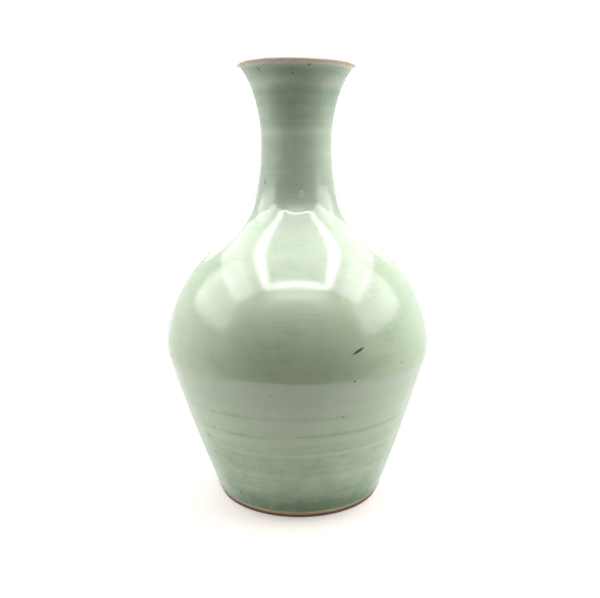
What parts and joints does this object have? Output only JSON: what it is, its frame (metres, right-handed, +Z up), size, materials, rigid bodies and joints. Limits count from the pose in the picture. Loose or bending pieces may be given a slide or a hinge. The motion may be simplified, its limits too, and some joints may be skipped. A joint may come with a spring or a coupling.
{
  "type": "bottle vase",
  "caption": "Thrown stoneware bottle vase with a tapered body, domed shoulder, slim flared neck and pale green glaze, for holding cut stems in water.",
  "frame": {"origin": "centre of the circle on which the foot ring stands, at the bottom of the vase", "axes": "+Z up along the axis on which the vase was thrown, towards the mouth; X and Y are any two directions square to it"},
  "size_m": [0.1598, 0.1598, 0.2602],
  "materials": {
    "stoneware": "bare fired clay, matt and fine grained",
    "fired_slip": "bare fired slip, matt",
    "green_glaze": "glossy translucent grey-green glaze, pooled darker at the foot and under the lip",
    "liner_glaze": "glossy grey-green liner glaze"
  },
  "bodies": {
    "root": {"lower_body": "stoneware", "belly_luting_slip": "fired_slip", "shoulder": "stoneware", "neck_luting_slip": "fired_slip", "neck": "stoneware", "outer_glaze": "green_glaze", "inner_glaze": "liner_glaze"}
  },
  "joints": []
}
